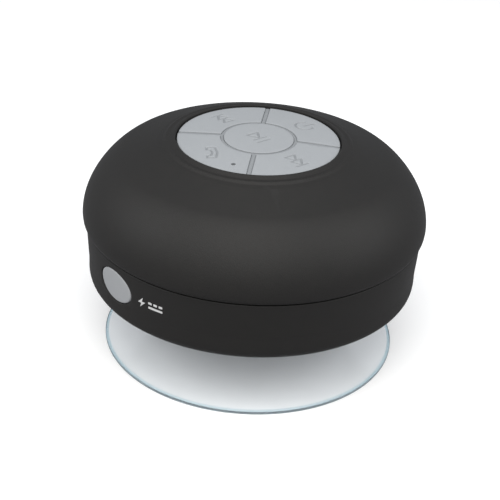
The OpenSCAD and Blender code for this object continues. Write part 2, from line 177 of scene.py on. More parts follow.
SURROUND = (0.36, 0.375, 0.4, 1)
SEEN = ("Is Camera Ray", "Is Transmission Ray")
world = bpy.data.worlds.new("studio")
bpy.context.scene.world = world
world.use_nodes = True
wires = world.node_tree
surround_light = wires.nodes["Background"]
surround_light.inputs["Color"].default_value = SURROUND
backdrop = wires.nodes.new("ShaderNodeBackground")
backdrop.inputs["Color"].default_value = (1, 1, 1, 1)
wires.links.new(by_ray(wires, SEEN, surround_light, backdrop), wires.nodes["World Output"].inputs["Surface"])
bpy.context.scene.view_settings.view_transform = "Standard"
print("world:", world.name, "with a surround of", SURROUND[:3])

# %% [markdown]
# ## Floor
#
# The speaker stands on white paper. To the camera it glows a little, as paper does under studio light that
# is turned up until the backdrop is pure white. To everything that reflects it, it is a duller sheet, so the
# band above it stays dark. Seen from below it isn't there, so that the underside can be looked at.

# %% Floor
floor_mesh = bpy.data.meshes.new("floor")
REACH = 3.0
floor_mesh.from_pydata([(-REACH, -REACH, 0), (REACH, -REACH, 0), (REACH, REACH, 0), (-REACH, REACH, 0)],
                       [], [(0, 1, 2, 3)])
floor = bpy.data.objects.new("floor", floor_mesh)
bpy.context.scene.collection.objects.link(floor)
PAPER_GLOW = 0.1
REFLECTED_PAPER = (0.34, 0.34, 0.35, 1)
paper = bpy.data.materials.new("white_paper")
paper.use_nodes = True
sheet = paper.node_tree
lit_paper = sheet.nodes["Principled BSDF"]
for label, value in (("Base Color", (1, 1, 1, 1)), ("Roughness", 0.9), ("Specular IOR Level", 0.1),
                     ("Emission Color", (1, 1, 1, 1)), ("Emission Strength", PAPER_GLOW)):
    lit_paper.inputs[label].default_value = value
dull_paper = sheet.nodes.new("ShaderNodeBsdfDiffuse")
dull_paper.inputs["Color"].default_value = REFLECTED_PAPER
below = sheet.nodes.new("ShaderNodeMixShader")
sheet.links.new(sheet.nodes.new("ShaderNodeNewGeometry").outputs["Backfacing"], below.inputs[0])
sheet.links.new(by_ray(sheet, SEEN, dull_paper, lit_paper), below.inputs[1])
sheet.links.new(sheet.nodes.new("ShaderNodeBsdfTransparent").outputs[0], below.inputs[2])
sheet.links.new(below.outputs[0], sheet.nodes["Material Output"].inputs["Surface"])
floor_mesh.materials.append(paper)
print("floor laid at height", floor.location.z)

# %% [markdown]
# ## Two effects that many finishes share
#
# Moulded plastic and rubber are never one flat colour. Two node groups give them life: a fine grain, which
# becomes a bump, and handling marks, which shift colour and roughness in soft patches and along worn edges.
# The groups only give out values that change over the surface; the shader itself stays in each material.

# %% Helpers for node groups
def new_group(name, inputs, outputs):
    """An empty shader node group with named sockets: (name, kind, default) in, (name, kind) out."""
    tree = bpy.data.node_groups.new(name, "ShaderNodeTree")
    for label, kind, value in inputs:
        tree.interface.new_socket(label, in_out="INPUT", socket_type=kind).default_value = value
    for label, kind in outputs:
        tree.interface.new_socket(label, in_out="OUTPUT", socket_type=kind)
    return tree, tree.nodes.new("NodeGroupInput"), tree.nodes.new("NodeGroupOutput")


def maths(tree, operation, first, second):
    """One Math node; first and second are sockets or numbers."""
    node = tree.nodes.new("ShaderNodeMath")
    node.operation = operation
    for socket, value in zip(node.inputs, (first, second)):
        if isinstance(value, bpy.types.NodeSocket):
            tree.links.new(value, socket)
        else:
            socket.default_value = value
    return node.outputs[0]


def noise(tree, place, scale, detail=2.0, roughness=0.5):
    node = tree.nodes.new("ShaderNodeTexNoise")
    node.inputs["Detail"].default_value = detail
    node.inputs["Roughness"].default_value = roughness
    tree.links.new(place, node.inputs["Vector"])
    if isinstance(scale, bpy.types.NodeSocket):
        tree.links.new(scale, node.inputs["Scale"])
    else:
        node.inputs["Scale"].default_value = scale
    return node.outputs["Fac"]


print("helpers for groups, Math nodes and noise are ready")

# %% Node group: grain
GRAIN, given, out = new_group(
    "moulded grain",
    [("Grains per metre", "NodeSocketFloat", 5000.0), ("Patchiness", "NodeSocketFloat", 0.3)],
    [("Height", "NodeSocketFloat")])
spot = GRAIN.nodes.new("ShaderNodeTexCoord").outputs["Object"]
fine = noise(GRAIN, spot, given.outputs["Grains per metre"], 3.0, 0.6)
broad = noise(GRAIN, spot, 260.0)
GRAIN.links.new(maths(GRAIN, "ADD", fine, maths(GRAIN, "MULTIPLY", broad, given.outputs["Patchiness"])),
                out.inputs["Height"])
print("group:", GRAIN.name)

# %% Node group: handling marks
MARKS, given, out = new_group(
    "handling marks",
    [("Clean", "NodeSocketColor", (0.5, 0.5, 0.5, 1)), ("Marked", "NodeSocketColor", (0.6, 0.6, 0.6, 1)),
     ("Worn", "NodeSocketColor", (0.6, 0.6, 0.6, 1)), ("Clean roughness", "NodeSocketFloat", 0.5),
     ("Roughness change", "NodeSocketFloat", 0.1), ("Patches per metre", "NodeSocketFloat", 60.0),
     ("Edge wear", "NodeSocketFloat", 0.3)],
    [("Colour", "NodeSocketColor"), ("Roughness", "NodeSocketFloat")])
spot = MARKS.nodes.new("ShaderNodeTexCoord").outputs["Object"]
patches = noise(MARKS, spot, given.outputs["Patches per metre"], 4.0, 0.55)
smudges = noise(MARKS, spot, maths(MARKS, "MULTIPLY", given.outputs["Patches per metre"], 6.0), 2.0)
marked = maths(MARKS, "MULTIPLY", maths(MARKS, "ADD", patches, smudges), 0.5)
edges = MARKS.nodes.new("ShaderNodeMapRange")
edges.inputs["From Min"].default_value = 0.52
edges.inputs["From Max"].default_value = 0.6
MARKS.links.new(MARKS.nodes.new("ShaderNodeNewGeometry").outputs["Pointiness"], edges.inputs["Value"])
worn = maths(MARKS, "MULTIPLY", maths(MARKS, "MULTIPLY", edges.outputs[0], smudges),
             given.outputs["Edge wear"])


def mix_colour(tree, share, first, second):
    node = tree.nodes.new("ShaderNodeMix")
    node.data_type = "RGBA"
    tree.links.new(share, node.inputs["Factor"])
    tree.links.new(first, node.inputs[6])
    tree.links.new(second, node.inputs[7])
    return node.outputs[2]


body_colour = mix_colour(MARKS, marked, given.outputs["Clean"], given.outputs["Marked"])
MARKS.links.new(mix_colour(MARKS, worn, body_colour, given.outputs["Worn"]), out.inputs["Colour"])
shift = maths(MARKS, "MULTIPLY", maths(MARKS, "SUBTRACT", marked, 0.5), given.outputs["Roughness change"])
MARKS.links.new(maths(MARKS, "ADD", given.outputs["Clean roughness"], shift), out.inputs["Roughness"])
print("group:", MARKS.name)

# %% [markdown]
# ## Painted shade in the grooves, colour in the rim
#
# Two places need a tone of their own. Grooves and engraved signs of the keypad get painted shade, so they
# get darker the deeper they lie below the crowned top, as if shade fell in them. The clear cup has more
# colour at its rim, where one looks along the skin instead of through it. Both groups work from the place on
# the part and give out a colour.

# %% Node groups: painted sunk shade and rim tone
KEY_EDGE = LIP_Z - 0.5                   # top of the keypad at its edge
CROWN = 0.7                              # how much higher the keypad is at its middle


def squared_radius(tree, place):
    """Sockets for the squared distance from the axis and for the height."""
    parts = tree.nodes.new("ShaderNodeSeparateXYZ")
    tree.links.new(place, parts.inputs[0])
    x, y, z = parts.outputs
    return maths(tree, "ADD", maths(tree, "MULTIPLY", x, x), maths(tree, "MULTIPLY", y, y)), z


def ramp(tree, value, start, end):
    """0 at start, 1 at end, smooth between."""
    node = tree.nodes.new("ShaderNodeMapRange")
    node.interpolation_type = "SMOOTHSTEP"
    tree.links.new(value, node.inputs["Value"])
    node.inputs["From Min"].default_value = start
    node.inputs["From Max"].default_value = end
    return node.outputs[0]


# Painted shade: the keypad's colour gets darker the deeper a point lies below the crowned top, standing in
# for the shade in its grooves and signs.
SUNK_SHADE, given, out = new_group(
    "painted sunk shade",
    [("Colour", "NodeSocketColor", (0.5, 0.5, 0.5, 1)), ("Painted shade", "NodeSocketColor", (0.3, 0.3, 0.3, 1))],
    [("Colour", "NodeSocketColor")])
squared, height = squared_radius(SUNK_SHADE, SUNK_SHADE.nodes.new("ShaderNodeTexCoord").outputs["Object"])
fall = maths(SUNK_SHADE, "MULTIPLY", squared, CROWN / MM / KEYPAD_R ** 2)
depth = maths(SUNK_SHADE, "SUBTRACT", maths(SUNK_SHADE, "SUBTRACT", (KEY_EDGE + CROWN) * MM, fall), height)
share = ramp(SUNK_SHADE, depth, 0.03 * MM, 0.16 * MM)
toned = mix_colour(SUNK_SHADE, share, given.outputs["Colour"], given.outputs["Painted shade"])
SUNK_SHADE.links.new(toned, out.inputs["Colour"])

RIM, given, out = new_group(
    "rim tone",
    [("Colour", "NodeSocketColor", (1, 1, 1, 1)), ("Rim", "NodeSocketColor", (0.6, 0.8, 0.85, 1))],
    [("Colour", "NodeSocketColor")])
squared, height = squared_radius(RIM, RIM.nodes.new("ShaderNodeTexCoord").outputs["Object"])
share = ramp(RIM, maths(RIM, "SQRT", squared, 0.0), (CUP_R - 1.1) * MM, (CUP_R - 0.6) * MM)
toned = mix_colour(RIM, share, given.outputs["Colour"], given.outputs["Rim"])
RIM.links.new(toned, out.inputs["Colour"])
print("groups:", SUNK_SHADE.name, "and", RIM.name)

# %% [markdown]
# ## Finishes
#
# One function mixes every opaque finish from the two groups: a colour and its marked and worn variants,
# a roughness, a grain size in grains per metre and a grain depth in millimetres. What makes rubber differ
# from metal is set straight on the shader's own sockets. The table names one finish per material slot.

# %% Mix a finish
FINISHES = {}


def finish(slot, clean, marked, worn, rough, change, grains, depth, wear=0.3, patches=60.0, strength=1.0,
           **sockets):
    """Build a finish from the two groups and keep it under its slot's name."""
    material = bpy.data.materials.new(slot)
    material.use_nodes = True
    tree = material.node_tree
    shader = tree.nodes["Principled BSDF"]
    marks = tree.nodes.new("ShaderNodeGroup")
    marks.node_tree = MARKS
    for label, value in (("Clean", (*clean, 1)), ("Marked", (*marked, 1)), ("Worn", (*worn, 1)),
                         ("Clean roughness", rough), ("Roughness change", change),
                         ("Patches per metre", patches), ("Edge wear", wear)):
        marks.inputs[label].default_value = value
    grain = tree.nodes.new("ShaderNodeGroup")
    grain.node_tree = GRAIN
    grain.inputs["Grains per metre"].default_value = grains
    bump = tree.nodes.new("ShaderNodeBump")
    bump.inputs["Distance"].default_value = depth * MM
    bump.inputs["Strength"].default_value = strength
    tree.links.new(grain.outputs["Height"], bump.inputs["Height"])
    tree.links.new(bump.outputs["Normal"], shader.inputs["Normal"])
    tree.links.new(marks.outputs["Colour"], shader.inputs["Base Color"])
    tree.links.new(marks.outputs["Roughness"], shader.inputs["Roughness"])
    for label, value in sockets.items():
        shader.inputs[label.replace("_", " ")].default_value = value
    FINISHES[slot] = material
    return material


print("a finish joins", MARKS.name, "and", GRAIN.name)


# %% Tones and greys
def with_tone(material, group, socket, colour):
    """Send a finish's colour through one of the tone groups."""
    tree = material.node_tree
    shader = tree.nodes["Principled BSDF"]
    tone = tree.nodes.new("ShaderNodeGroup")
    tone.node_tree = group
    tone.inputs[socket].default_value = (*colour, 1)
    tree.links.new(shader.inputs["Base Color"].links[0].from_socket, tone.inputs["Colour"])
    tree.links.new(tone.outputs["Colour"], shader.inputs["Base Color"])


def grey(value, warmth=0.0):
    """A near-neutral colour; warmth above 0 leans to brown, below 0 to blue."""
    return (value * (1 + warmth), value, value * (1 - warmth))


print("dark grey, a little warm:", grey(0.1, 0.05))

# %% Finishes of the outside
finish("soft_black", grey(0.011, 0.03), grey(0.016, 0.07), grey(0.027), 0.56, 0.14, 4600, 0.032,
       Specular_IOR_Level=0.28)
finish("keypad_grey", grey(0.303, -0.05), grey(0.33, -0.045), grey(0.38, -0.03), 0.62, 0.1, 5200, 0.02,
       Subsurface_Weight=0.06, Subsurface_Scale=0.001, Subsurface_Radius=(1, 1, 1))
finish("plug_grey", grey(0.36, -0.03), grey(0.39, -0.03), grey(0.45), 0.55, 0.12, 6500, 0.012)
finish("seal_black", grey(0.004), grey(0.006), grey(0.01), 0.7, 0.1, 5000, 0.02)
finish("white_ink", grey(0.82), grey(0.7), grey(0.5), 0.45, 0.2, 9000, 0.006, wear=0.6)
# This darker grey is painted shade in the keypad's grooves and engraved signs.
with_tone(FINISHES["keypad_grey"], SUNK_SHADE, "Painted shade", grey(0.245, -0.05))
print("finishes outside:", ", ".join(FINISHES))

# %% Finishes of the parts inside
finish("board_green", (0.01, 0.1, 0.035), (0.015, 0.13, 0.05), (0.3, 0.22, 0.1), 0.3, 0.1, 2500, 0.01,
       Coat_Weight=0.3)
finish("part_black", grey(0.014), grey(0.02), grey(0.05), 0.45, 0.15, 6000, 0.015)
finish("part_tan", (0.42, 0.3, 0.16), (0.36, 0.24, 0.12), (0.5, 0.4, 0.25), 0.6, 0.15, 5000, 0.02)
finish("part_ivory", grey(0.68, 0.06), grey(0.6, 0.08), grey(0.75), 0.4, 0.1, 6000, 0.01)
finish("foam_grey", grey(0.05), grey(0.09), grey(0.1), 0.95, 0.05, 2500, 0.15)
finish("wire_skin", (0.4, 0.02, 0.02), (0.3, 0.015, 0.015), (0.5, 0.1, 0.1), 0.35, 0.1, 5000, 0.005)
finish("ferrite", grey(0.03), grey(0.045), grey(0.12), 0.55, 0.2, 4000, 0.03)
finish("paper_black", grey(0.015), grey(0.03), grey(0.05), 0.85, 0.1, 1800, 0.06)
finish("spider_cloth", (0.5, 0.33, 0.1), (0.4, 0.26, 0.08), (0.5, 0.4, 0.2), 0.8, 0.1, 3000, 0.08)
finish("splash_cloth", grey(0.02), grey(0.035), grey(0.05), 0.8, 0.1, 2600, 0.08)
print("finishes so far:", len(FINISHES))

# %% Metal finishes
finish("screw_steel", grey(0.5), grey(0.42, 0.05), grey(0.7), 0.32, 0.25, 9000, 0.004, Metallic=1.0)
finish("tin_plate", grey(0.62), grey(0.5), grey(0.75), 0.28, 0.2, 8000, 0.004, Metallic=1.0)
finish("gold_plate", (0.9, 0.62, 0.22), (0.75, 0.5, 0.2), (0.9, 0.8, 0.6), 0.22, 0.15, 8000, 0.003,
       Metallic=1.0)
finish("cell_foil", grey(0.6), grey(0.5), grey(0.7), 0.35, 0.3, 1500, 0.05, Metallic=0.9)
finish("copper_wire", (0.65, 0.22, 0.08), (0.5, 0.17, 0.06), (0.8, 0.4, 0.2), 0.3, 0.1, 6000, 0.01,
       Metallic=1.0)
print("finishes so far:", len(FINISHES))

# %% [markdown]
# ## Clear soft vinyl
#
# The suction cup is cast from clear vinyl. It lets light through and bends it, its skin is softly uneven,
# and its colour only shows where light travels far through it, which is why the rim looks blue-green.
# So the shader is a plain transmitting one with a faint tint, and only its roughness and bump vary.
# Rays that carry light to the floor pass straight through it, because bent light takes long to gather.

# %% Finish for the cup
RIM_TINT = (0.54, 0.69, 0.76)            # where one looks along the skin
DEEP_TINT, TINT_PER_METRE = (0.7, 0.77, 0.84, 1), 60.0

vinyl = finish("clear_cup", (0.965, 0.965, 0.975), (0.94, 0.94, 0.95), (0.955, 0.96, 0.97), 0.1, 0.16,
               420.0, 0.05, wear=0.0, patches=45.0, strength=0.5, Transmission_Weight=0.88, IOR=1.45)
tree = vinyl.node_tree
open_way = tree.nodes.new("ShaderNodeBsdfTransparent")
open_way.inputs["Color"].default_value = (0.96, 0.98, 0.985, 1)
tree.links.new(by_ray(tree, ("Is Shadow Ray", "Is Diffuse Ray"), tree.nodes["Principled BSDF"], open_way),
               tree.nodes["Material Output"].inputs["Surface"])
tint = tree.nodes.new("ShaderNodeVolumeAbsorption")
tint.inputs["Color"].default_value = DEEP_TINT
tint.inputs["Density"].default_value = TINT_PER_METRE
tree.links.new(tint.outputs[0], tree.nodes["Material Output"].inputs["Volume"])
with_tone(vinyl, RIM, "Rim", RIM_TINT)
print("clear vinyl lets the lamps through")

# %% [markdown]
# ## Give every solid its finish
#
# Most solids are inside the housing and keep their own shape. Each takes the finish of its material slot,
# so that an exploded or cut-away view looks right too.

# %% Finishes on the solids
for part in frame["record"]["subparts"]:
    solid = frame["nodes"][part["node"]]
    if not solid.material_slots:
        solid.data.materials.append(None)
    for holder in solid.material_slots:
        holder.material = FINISHES[part["material_slot"]]

# %% [markdown]
# ## Drawing tools
#
# Round parts are outlines turned about the axis. Corners get small arcs first, because no moulded edge is
# sharp and the arc is what catches the light. Holes and posts are cut and joined with exact booleans.

# %% Outlines with rounded corners
def rounded(corners, closed=True, steps=5):
    """Corners are (x, y) or (x, y, radius); each radius becomes an arc of the same number of points."""
    points = []
    count = len(corners)
    for i, corner in enumerate(corners):
        here, radius = Vector(corner[:2]), (corner[2] if len(corner) > 2 else 0)
        if radius <= 0 or (not closed and i in (0, count - 1)):
            points.append(tuple(here))
            continue
        back = Vector(corners[i - 1][:2]) - here
        ahead = Vector(corners[(i + 1) % count][:2]) - here
        half = back.angle(ahead) / 2
        reach = min(radius / math.tan(half), back.length * 0.49, ahead.length * 0.49)
        radius = reach * math.tan(half)
        centre = here + (back.normalized() + ahead.normalized()).normalized() * radius / math.sin(half)
        start = here + back.normalized() * reach - centre
        turn = start.angle_signed(here + ahead.normalized() * reach - centre)
        for k in range(steps + 1):
            swing = -turn * k / steps
            points.append((centre.x + start.x * math.cos(swing) - start.y * math.sin(swing),
                           centre.y + start.x * math.sin(swing) + start.y * math.cos(swing)))
    return points


def shoulder(start, end, lead, rise, slope, steps=36):
    """Smooth curve from a cone that falls by slope down to an upright wall."""
    a, d = Vector(start), Vector(end)
    b, c = a + lead * Vector((1, -slope)), d + Vector((0, rise))
    points = []
    for k in range(steps + 1):
        t = k / steps
        u = 1 - t
        points.append(tuple(u ** 3 * a + 3 * u ** 2 * t * b + 3 * u * t * t * c + t ** 3 * d))
    return points


print("points of one rounded corner:", len(rounded([(0, 0), (1, 0, 0.2), (1, 1)], closed=False)) - 2)


# %% Turned bodies
def join_rows(bm, rows, closed):
    """Faces between neighbouring rows of vertices; a row of one vertex is a pole."""
    for first, second in zip(rows, rows[1:] + (rows[:1] if closed else [])):
        sides = max(len(first), len(second))
        for i in range(sides):
            j = (i + 1) % sides
            corners = [first[i % len(first)], first[j % len(first)], second[j % len(second)],
                       second[i % len(second)]]
            corners = list(dict.fromkeys(corners))
            if len(corners) > 2:
                bm.faces.new(corners)


def turned(outline, sides=256, places=((0, 0),)):
    """A closed (r, z) outline in millimetres, turned about an upright line at each place."""
    bm = bmesh.new()
    for x, y in places:
        rows = []
        for r, z in outline:
            count = 1 if r < 1e-6 else sides
            rows.append([bm.verts.new(Vector((x + r * math.cos(2 * math.pi * k / sides),
                                              y + r * math.sin(2 * math.pi * k / sides), z)) * MM)
                         for k in range(count)])
        join_rows(bm, rows, closed=True)
    bmesh.ops.recalc_face_normals(bm, faces=bm.faces)
    return bm


print("a turned cylinder has", len(turned([(0, 0), (1, 0), (1, 1), (0, 1)], 16).faces), "faces")


# %% Lofts and rods
def lofted(rings, bm=None):
    """Rings of equally many 3D points in millimetres, skinned one after another and closed at both ends."""
    bm = bm or bmesh.new()
    rows = [[bm.verts.new(Vector(point) * MM) for point in ring] for ring in rings]
    join_rows(bm, rows, closed=False)
    bm.faces.new(rows[0])
    bm.faces.new(rows[-1])
    bmesh.ops.recalc_face_normals(bm, faces=bm.faces)
    return bm


def ring_of(radius, count, start=0.0):
    """Places on a circle, evenly spread from the angle start, in degrees."""
    return [(radius * math.cos(math.radians(start + 360 * k / count)),
             radius * math.sin(math.radians(start + 360 * k / count))) for k in range(count)]


def block(bm, lowest, highest):
    """A box between two corners in millimetres, added to bm."""
    (x0, y0, z0), (x1, y1, z1) = lowest, highest
    return lofted([[(x0, y0, z), (x1, y0, z), (x1, y1, z), (x0, y1, z)] for z in (z0, z1)], bm)


def rod(radius, start, end, sides=32):
    """A round rod between two heights or along Y, as rings for lofted()."""
    axis = (Vector(end) - Vector(start)).normalized()
    side = axis.orthogonal().normalized()
    other = axis.cross(side)
    return [[tuple(Vector(centre) + radius * (math.cos(2 * math.pi * k / sides) * side
                                              + math.sin(2 * math.pi * k / sides) * other))
             for k in range(sides)] for centre in (start, end)]


print("corners of a rod's end:", len(rod(1, (0, 0, 0), (0, 0, 1))[0]))


# %% From mesh to piece
def as_object(name, bm):
    mesh = bpy.data.meshes.new(name)
    bm.to_mesh(mesh)
    bm.free()
    made = bpy.data.objects.new(name, mesh)
    bpy.context.scene.collection.objects.link(made)
    return made


def mend(mesh):
    """Merge doubled points and fill the hairline gaps that a boolean can leave."""
    bm = bmesh.new()
    bm.from_mesh(mesh)
    bmesh.ops.remove_doubles(bm, verts=bm.verts, dist=1e-3 * MM)
    bmesh.ops.dissolve_degenerate(bm, edges=bm.edges, dist=1e-4 * MM)
    bmesh.ops.triangulate(bm, faces=[face for face in bm.faces if len(face.verts) > 4])
    bmesh.ops.holes_fill(bm, edges=[edge for edge in bm.edges if edge.is_boundary], sides=12)
    print("open edges left:", sum(edge.is_boundary for edge in bm.edges))
    bm.to_mesh(mesh)
    bm.free()


def piece(name, bm, slot, body, stands_for, steps=(), sharp=32):
    """Shape a mesh with exact booleans, shade it, give it its finish and let it ride a body."""
    made = as_object(name, bm)
    tools = []
    for operation, tool_mesh in steps:
        tools.append(as_object(name + "_tool", tool_mesh))
        change = made.modifiers.new(operation, "BOOLEAN")
        change.operation = operation
        change.object = tools[-1]
    if tools:
        seen = made.evaluated_get(bpy.context.evaluated_depsgraph_get())
        made.data = bpy.data.meshes.new_from_object(seen)
        made.modifiers.clear()
        mend(made.data)
    for tool in tools:
        bpy.data.objects.remove(tool)
    made.data.shade_smooth()
    made.data.set_sharp_from_angle(angle=math.radians(sharp))
    made.data.materials.clear()
    made.data.materials.append(FINISHES[slot])
    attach(made, body)
    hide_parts(*stands_for)
    print(name, "has", len(made.data.polygons), "faces")
    return made


# %% [markdown]
# ## Top shell
#
# The shell is a shallow cone that rolls over a full shoulder into an upright wall. It ends in a small
# rounded edge over the seam. Its top has a collar with a soft ridge outside and a deep recess inside, which
# holds the keypad. Underneath are the posts that the screws bite into.

# %% Top shell
RIDGE_R, SHOULDER_R, WIDEST_Z = 23.0, 33.0, 36.0
SLOPE = 0.366                            # fall of the shallow cone per unit of radius
LEAD, RISE = 3.8, 6.8                    # how far the shoulder keeps the cone's and the wall's direction
RIDGE_Z = LIP_Z - 0.95
WALL = 2.7
CEILING = WEB_BOTTOM - 1.5
POST_PLACES = ring_of(33, 4, 45)
BOARD_POST_PLACES = ring_of(23, 4, 45)
KEY_RING_R, NIB_R, NIB_HOLE_R = 14.5, 1.9, 2.4
KEY_PLACES = ring_of(KEY_RING_R, 4)
MICROPHONE, MICROPHONE_R = ring_of(16, 1, -60), 0.58

shell_outline = rounded([
    (0, WEB_BOTTOM), (RECESS_R, WEB_BOTTOM, 0.15), (RECESS_R, LIP_Z - 0.05, 0.22),
    (RECESS_R + 0.5, LIP_Z, 0.3), (RIDGE_R - 1.1, RIDGE_Z + 0.25, 0.8), (RIDGE_R - 0.2, RIDGE_Z + 0.38, 0.5),
    (RIDGE_R + 0.5, RIDGE_Z - 0.2, 0.8), (RIDGE_R + 1.7, RIDGE_Z - 0.53, 1.5),
    (SHOULDER_R - 4, RIDGE_Z - SLOPE * (SHOULDER_R - 4 - RIDGE_R))], closed=False)
shell_outline += shoulder((SHOULDER_R, RIDGE_Z - SLOPE * (SHOULDER_R - RIDGE_R)), (BODY_R, WIDEST_Z),
                          LEAD, RISE, SLOPE)
shell_outline += rounded([
    (BODY_R, WIDEST_Z), (BODY_R - 0.1, SEAM_TOP + 1.0, 0.6), (BODY_R - 0.6, SEAM_TOP, 0.3),
    (BODY_R - WALL, SEAM_TOP, 0.15), (BODY_R - WALL, WIDEST_Z)], closed=False)[1:-1]
inner_shoulder = shoulder((SHOULDER_R - 1.5, CEILING - SLOPE * 8.1), (BODY_R - WALL, WIDEST_Z),
                          LEAD, RISE, SLOPE, 16)
shell_outline += inner_shoulder[::-1] + [(RIDGE_R + 0.4, CEILING), (0, CEILING)]

posts = turned([(0, 34.3), (3, 34.3), (3, 48.8), (0, 48.8)], 32, POST_PLACES)
board_posts = turned([(0, 48.4), (2.2, 48.4), (2.2, 53), (0, 53)], 32, BOARD_POST_PLACES)
nib_holes = turned([(0, 51), (NIB_HOLE_R, 51), (NIB_HOLE_R, 54), (0, 54)], 48, KEY_PLACES + [(0, 0)])
microphone_hole = turned([(0, 51), (0.9, 51), (0.9, 54), (0, 54)], 24, MICROPHONE)
pilots = turned([(0, 33), (1, 33), (1, 42), (0, 42)], 24, POST_PLACES)
board_pilots = turned([(0, 47), (0.75, 47), (0.75, 50.8), (0, 50.8)], 24, BOARD_POST_PLACES)
piece("top_shell", turned(shell_outline), "soft_black", "housing", ["dome_shell"],
      [("UNION", posts), ("UNION", board_posts), ("DIFFERENCE", nib_holes), ("DIFFERENCE", microphone_hole),
       ("DIFFERENCE", pilots), ("DIFFERENCE", board_pilots)])

# %% [markdown]
# ## Base with its port
#
# The base is one moulding: an upright band that rolls under into a flat bottom, a tongue that locks it to
# the top shell, a ring that seats the loudspeaker and a hub that holds the cup. The charging port sits in
# an oval well. The rim of that well has to follow the curved band, so its cutter is a loft whose last rings
# lie on the band's own surface.

# %% The band's surface
BAND_R = BODY_R - 1.1
BAND = [(FLOOR_Z + 5, BAND_R - 0.4), (FLOOR_Z + 8, BAND_R - 0.25), (FLOOR_Z + 13, BAND_R + 0.05),
        (SEAM_BOTTOM, BAND_R + 0.2)]


def band_radius(z):
    """Radius of the band's outside at height z."""
    for (z0, r0), (z1, r1) in zip(BAND, BAND[1:]):
        if z <= z1:
            return r0 + (r1 - r0) * (z - z0) / (z1 - z0)
    return BAND[-1][1]


def on_band(x, z, depth=0.0):
    """The point at depth under the band's surface, on its front side, at x and z."""
    return (x, -math.sqrt((band_radius(z) - depth) ** 2 - x * x), z)


def oval(width, height, sides=96):
    """Points (x, z) of an upright oval around the port's middle."""
    return [(PORT.x + width / 2 * math.cos(2 * math.pi * k / sides),
             PORT.z + height / 2 * math.sin(2 * math.pi * k / sides)) for k in range(sides)]


print("band radius at the port:", round(band_radius(PORT.z), 2), "mm")

# %% Base shell
WELL_Y, GAP, RIM_ROUND = -39.6, 0.12, 0.3
STRAP_X = 4.7
base_outline = rounded([
    (0, 22.8), (7.7, 22.8), (7.7, 19.6), (4.5, 19.6), (4.5, FLOOR_Z, 0.3), (BAND_R - 0.4, FLOOR_Z, 5.0),
    (BAND_R - 0.4, FLOOR_Z + 6, 4), (BAND_R + 0.05, FLOOR_Z + 13, 6), (BAND_R + 0.2, SEAM_BOTTOM, 0.25),
    (39.7, SEAM_BOTTOM), (39.7, TONGUE_Z, 0.3), (38.5, TONGUE_Z, 0.2), (38.5, 20, 3), (20.4, 20),
    (20.4, 23.4), (17.4, 23.4), (17.4, 20), (9.2, 20), (9.2, 23.8, 0.3), (0, 23.8)], closed=False, steps=10)

sleeves = turned([(0, 19), (3.2, 19), (3.2, 34.2), (0, 34.2)], 40, POST_PLACES)
ears = turned([(0, 19), (2.2, 19), (2.2, 24.2), (0, 24.2)], 32, ring_of(23, 4))
blocks = block(None, (-9, -40.4, 21.6), (9, -38.2, 33))
block(blocks, (-3, -37, 19), (3, -29, 24.6))

well_rings = [[(x, WELL_Y, z) for x, z in oval(PLUG_W + 2 * GAP, PLUG_H + 2 * GAP)]]
for k in range(6):
    angle = math.pi / 2 * k / 5
    spread = 2 * GAP + 2 * RIM_ROUND * (1 - math.cos(angle))
    well_rings.append([on_band(x, z, RIM_ROUND * (1 - math.sin(angle)))
                       for x, z in oval(PLUG_W + spread, PLUG_H + spread)])
well_rings.append([(x, -46, z) for x, z in oval(PLUG_W + 1.5, PLUG_H + 1.5)])
well = lofted(well_rings)
port_holes = lofted(rod(2.1, (PORT.x, -40.5, PORT.z), (PORT.x, -37.5, PORT.z), 48))
lofted(rod(0.75, (STRAP_X, -40.5, PORT.z), (STRAP_X, -37.5, PORT.z), 24), port_holes)

sound_holes = turned([(0, 17), (1.35, 17), (1.35, FLOOR_Z), (1.1, FLOOR_Z + 0.25), (1.1, 21), (0, 21)], 24,
                     ring_of(11.8, 14) + ring_of(15, 18))
screw_wells = turned([(0, 17), (2.3, 17), (2.3, 28), (1.05, 28), (1.05, 35), (0, 35)], 40, POST_PLACES)
ear_pilots = turned([(0, 20.8), (0.75, 20.8), (0.75, 25), (0, 25)], 24, ring_of(23, 4))
piece("base", turned(base_outline), "soft_black", "housing", ["base_shell"],
      [("UNION", sleeves), ("UNION", ears), ("UNION", blocks), ("DIFFERENCE", well),
       ("DIFFERENCE", port_holes), ("DIFFERENCE", sound_holes), ("DIFFERENCE", screw_wells),
       ("DIFFERENCE", ear_pilots)])

# %% [markdown]
# ## Seal in the seam
#
# A thin black ring closes the seam. It sits a little back from both shells, so it reads as a dark line.

# %% Seal
piece("seam_seal", turned(rounded([
    (BODY_R - 3.2, SEAM_BOTTOM), (BODY_R - 1.6, SEAM_BOTTOM, 0.2), (BODY_R - 1.6, SEAM_TOP, 0.2),
    (BODY_R - 3.2, SEAM_TOP)])), "seal_black", "housing", ["case_seal"])

# %% [markdown]
# ## Keys with engraved signs
#
# Each key is one soft silicone cap with a nib below it. The top is a gentle crown with rounded edges and a
# sunk sign. A sign needs fine mesh only near its lines, so the top is triangulated from chosen points: a
# coarse net everywhere, a dense one along the lines, and the lines push down the points beneath them.

# %% Signs as lines
def circle_part(cx, cy, radius, first, last, count=22):
    return [(cx + radius * math.cos(math.radians(first + (last - first) * k / count)),
             cy + radius * math.sin(math.radians(first + (last - first) * k / count)))
            for k in range(count + 1)]


def closed(points):
    return points + points[:1]


def triangle(x, width, height):
    """Outline of a triangle with its middle at x; a negative width points it to the left."""
    return closed([(x - width / 2, -height / 2), (x + width / 2, 0), (x - width / 2, height / 2)])


def moved(lines, dx, dy, turn=0.0):
    c, s = math.cos(math.radians(turn)), math.sin(math.radians(turn))
    return [[(dx + c * x - s * y, dy + s * x + c * y) for x, y in line] for line in lines]


def bar(x, height):
    return [(x, -height / 2), (x, height / 2)]


